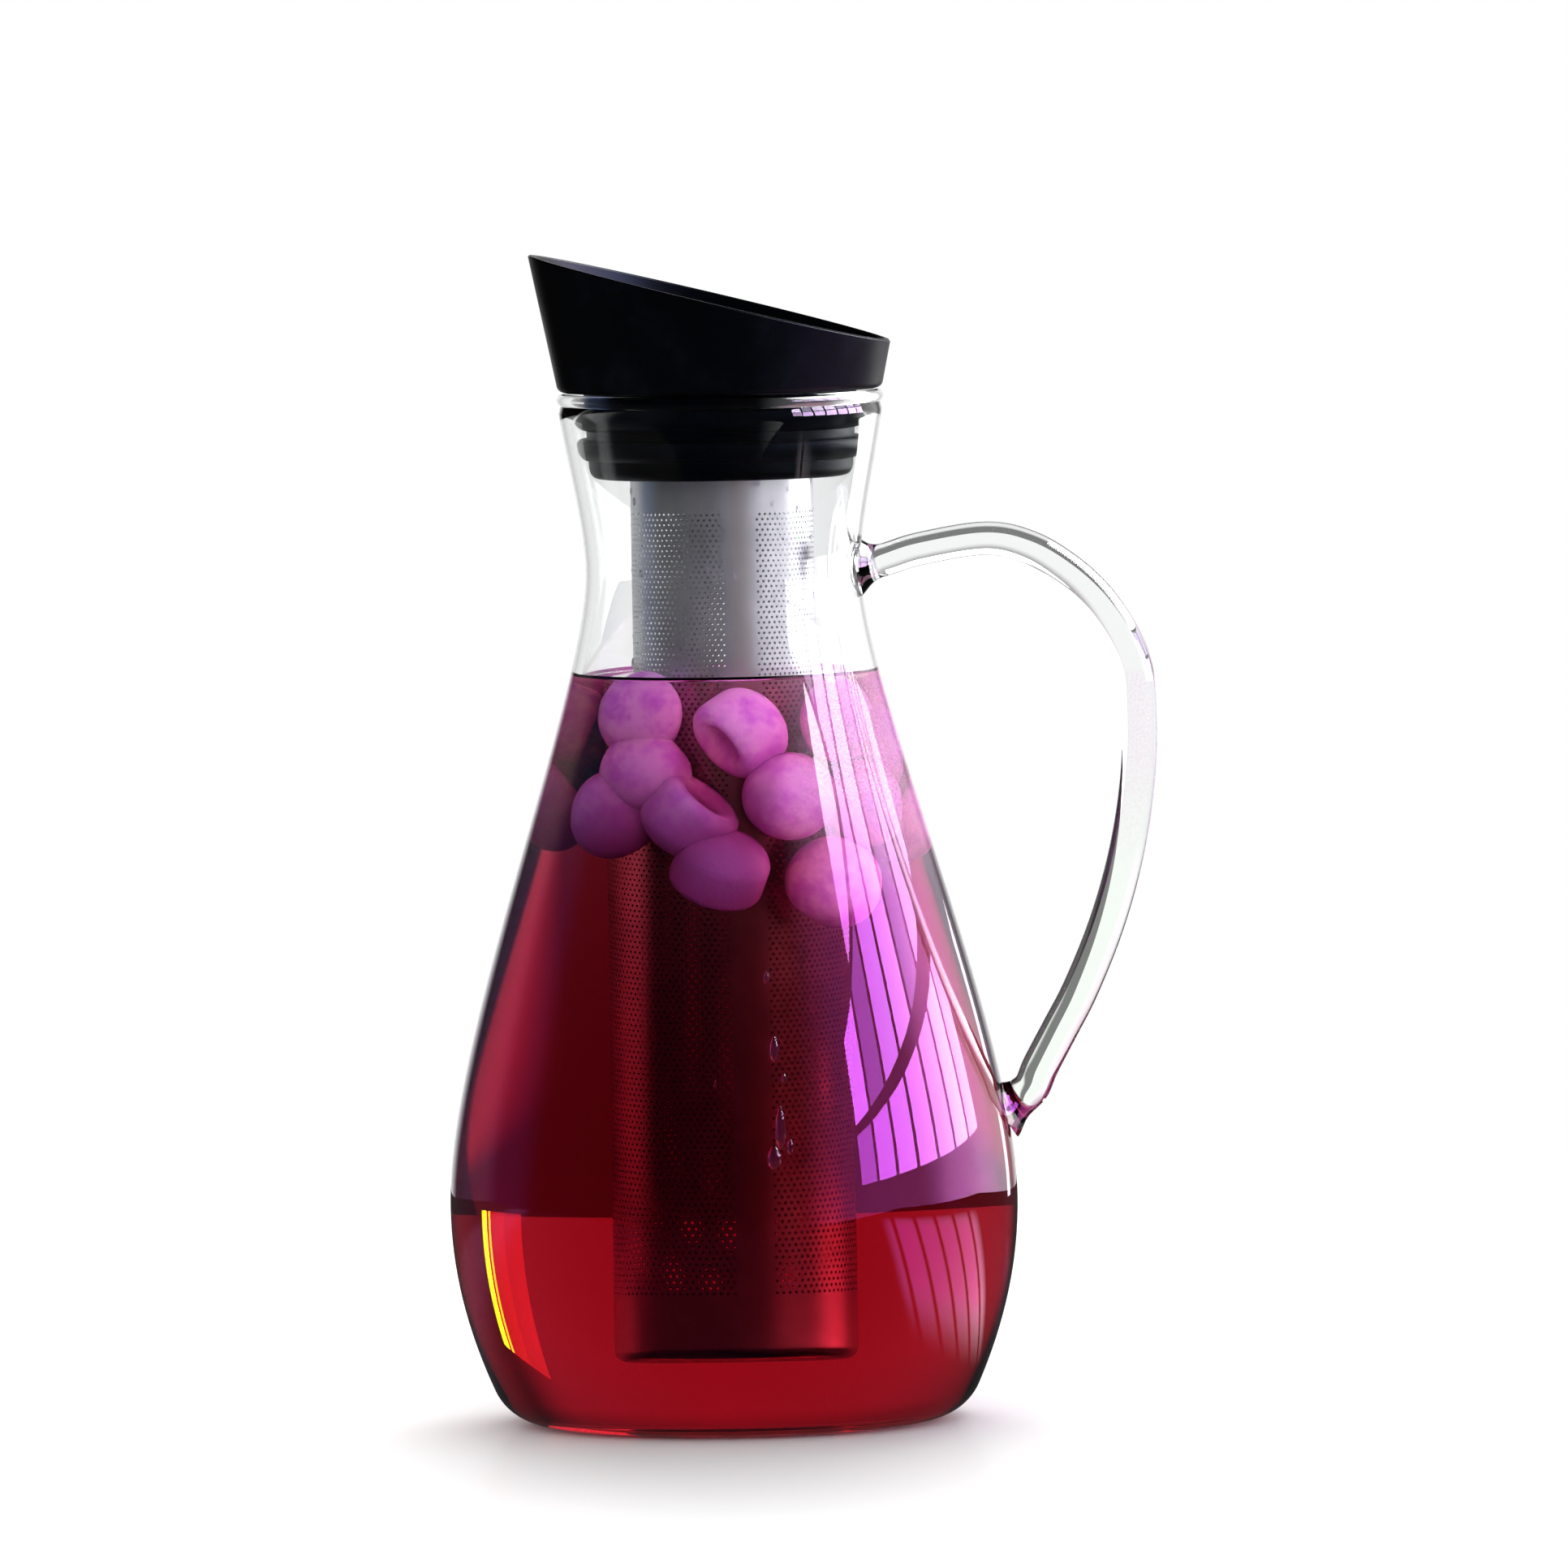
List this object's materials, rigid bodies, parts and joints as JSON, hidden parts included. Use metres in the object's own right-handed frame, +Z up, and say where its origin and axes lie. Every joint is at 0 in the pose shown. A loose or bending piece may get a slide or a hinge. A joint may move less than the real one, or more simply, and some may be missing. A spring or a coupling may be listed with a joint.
{
  "type": "iced tea maker",
  "caption": "Glass carafe with a fused rod handle, a black pour-through stopper with a slanted spout collar and a long perforated steel infuser hanging in the tea.",
  "frame": {"origin": "centre of the carafe's flat base, on the axis of the carafe, in the plane that it stands on", "axes": "+Z up along the carafe's axis, +X towards the handle and -X towards the pouring tip, +Y away from the picture's camera"},
  "size_m": [0.1764, 0.14, 0.2883],
  "materials": {
    "clear_glass": "clear, blown, fire-polished rim",
    "black_plastic": "satin moulded",
    "black_silicone": "smooth",
    "steel": "rolled perforated sheet"
  },
  "bodies": {
    "carafe": {"glass_body": "clear_glass", "glass_handle": "clear_glass"},
    "infuser": {"infuser_tube": "steel", "infuser_base": "steel", "infuser_collar": "steel"},
    "stopper": {"pouring_collar": "black_plastic", "stopper_core": "black_plastic", "upper_seal_ring": "black_silicone", "lower_seal_ring": "black_silicone", "flap_pin": "steel"},
    "flap": {"pour_flap": "steel"}
  },
  "joints": [
    {"name": "infuser_lift", "type": "slide", "parent": "carafe", "child": "infuser", "axis": [0, 0, 1], "range_m": [0, 0.26]},
    {"name": "stopper_pull", "type": "slide", "parent": "infuser", "child": "stopper", "axis": [0, 0, 1], "range_m": [0, 0.06]},
    {"name": "flap_swing", "type": "hinge", "parent": "stopper", "child": "flap", "pos_m": [0.003, 0, 0.2624], "axis": [0, 1, 0], "range_deg": [0, 75]}
  ]
}
